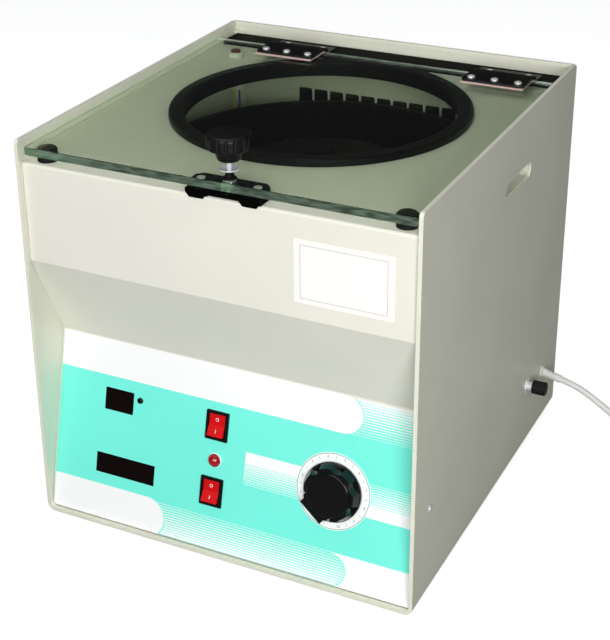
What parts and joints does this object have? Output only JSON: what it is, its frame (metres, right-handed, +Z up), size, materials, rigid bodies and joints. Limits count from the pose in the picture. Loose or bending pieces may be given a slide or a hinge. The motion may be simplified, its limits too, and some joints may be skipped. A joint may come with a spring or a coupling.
{
  "type": "high-speed centrifuge",
  "caption": "Benchtop high-speed centrifuge: sheet-metal cabinet, hinged glass lid with a lock knob, bowl with angle rotor and motor, and a sloping control panel.",
  "frame": {"origin": "on the surface that the feet stand on, under the middle of the cabinet", "axes": "+Z up, +X to the right of a user at the control panel, +Y to the back"},
  "size_m": [0.6268, 0.5587, 0.466],
  "materials": {
    "case_paint": "satin",
    "deck_paint": "satin",
    "label_film": "satin",
    "plate_metal": "satin",
    "black_rubber": "matte",
    "clear_glass": "gloss",
    "gasket_pink": "matte",
    "rail_black": "satin",
    "hinge_steel": "satin",
    "bright_screws": "polished",
    "chrome_trim": "polished",
    "black_plastic": "matte",
    "gloss_black": "gloss",
    "switch_white": "gloss",
    "plunger_brown": "gloss",
    "wire_yellow": "matte",
    "wire_blue": "matte",
    "bowl_black": "gloss",
    "inner_steel": "satin",
    "motor_paint": "matte",
    "cast_alloy": "matte",
    "winding_copper": "satin",
    "rotor_alloy": "satin",
    "window_red": "gloss",
    "board_green": "matte",
    "button_dark": "gloss",
    "rocker_red": "gloss",
    "lamp_red": "gloss",
    "dial_white": "satin",
    "cord_white": "matte"
  },
  "bodies": {
    "cabinet": {"cabinet_wrap": "case_paint", "rear_panel": "case_paint", "front_deck_panel": "deck_paint", "control_label": "label_film", "notice_plate": "plate_metal", "feet": "black_rubber", "rim_edging": "black_rubber", "lid_bumpers": "black_rubber", "lid_rail": "rail_black", "latch_keeper": "rail_black", "deck_screws": "bright_screws", "hinge_fixed_leaves": "rail_black", "hinge_pins": "hinge_steel", "switch_body": "switch_white", "switch_wire_yellow": "wire_yellow", "switch_wire_blue": "wire_blue", "bowl": "bowl_black", "bowl_posts": "inner_steel", "spindle_boot": "black_rubber", "motor_dampers": "black_rubber", "motor_plate": "inner_steel", "motor_can": "motor_paint", "motor_end_bell": "cast_alloy", "motor_bearings": "hinge_steel", "field_winding": "winding_copper", "hand_cups": "case_paint", "panel_windows": "window_red", "board_modules": "black_plastic", "board_posts": "inner_steel", "control_board": "board_green", "rocker_frames": "gloss_black", "pilot_ring": "dial_white", "pilot_lens": "lamp_red", "dial_plate": "dial_white", "regulator_body": "winding_copper", "fuse_holder": "chrome_trim", "cord_relief": "cord_white", "case_screws": "bright_screws", "mains_cord": "cord_white", "cord_coil": "cord_white", "mains_plug": "cord_white"},
    "lid": {"lid_glass": "clear_glass", "hinge_clamps": "rail_black", "hinge_gaskets": "gasket_pink", "clamp_screws": "bright_screws", "knob_washer": "chrome_trim", "glass_bush": "black_rubber"},
    "lid_lock": {"lid_knob": "black_plastic", "lid_stud": "chrome_trim"},
    "spinning_rotor": {"spindle": "inner_steel", "armature": "inner_steel", "rotor_body": "rotor_alloy", "rotor_nut": "rotor_alloy"},
    "lid_switch": {"switch_plunger": "plunger_brown"},
    "speed_control": {"speed_knob": "gloss_black", "regulator_shaft": "inner_steel"},
    "rocker_a": {"upper_rocker": "rocker_red"},
    "rocker_b": {"lower_rocker": "rocker_red"},
    "timer_button": {"set_button": "button_dark"},
    "fuse_carrier": {"fuse_cap": "black_plastic"}
  },
  "joints": [
    {"name": "lid_hinge", "type": "hinge", "parent": "cabinet", "child": "lid", "pos_m": [0, 0.1805, 0.421], "axis": [-1, 0, 0], "range_deg": [0, 105]},
    {"name": "lid_knob_turn", "type": "hinge", "parent": "lid", "child": "lid_lock", "pos_m": [0.014, -0.204, 0.45], "axis": [0, 0, 1], "range_deg": [0, 90]},
    {"name": "rotor_spin", "type": "hinge", "parent": "cabinet", "child": "spinning_rotor", "pos_m": [0, 0.0195, 0.3], "axis": [0, 0, 1], "continuous": true},
    {"name": "lid_switch_press", "type": "slide", "parent": "cabinet", "child": "lid_switch", "axis": [0, 0, 1], "range_m": [-0.0025, 0], "stiffness_N_per_m": 200, "springref_m": 0.001},
    {"name": "speed_knob_turn", "type": "hinge", "parent": "cabinet", "child": "speed_control", "pos_m": [0.1138, -0.19436, 0.10665], "axis": [0, 0.9713, -0.2381], "range_deg": [0, 300]},
    {"name": "upper_rocker_tilt", "type": "hinge", "parent": "cabinet", "child": "rocker_a", "pos_m": [-0.0183, -0.18528, 0.14159], "axis": [1, 0, 0], "range_deg": [0, 20]},
    {"name": "lower_rocker_tilt", "type": "hinge", "parent": "cabinet", "child": "rocker_b", "pos_m": [-0.0186, -0.20206, 0.07311], "axis": [1, 0, 0], "range_deg": [0, 20]},
    {"name": "set_button_press", "type": "slide", "parent": "cabinet", "child": "timer_button", "axis": [0, 0.9713, -0.2381], "range_m": [0, 0.0015], "stiffness_N_per_m": 300, "springref_m": -0.001},
    {"name": "fuse_cap_turn", "type": "hinge", "parent": "cabinet", "child": "fuse_carrier", "pos_m": [0.21, 0.1135, 0.088], "axis": [1, 0, 0], "range_deg": [0, 90]}
  ]
}
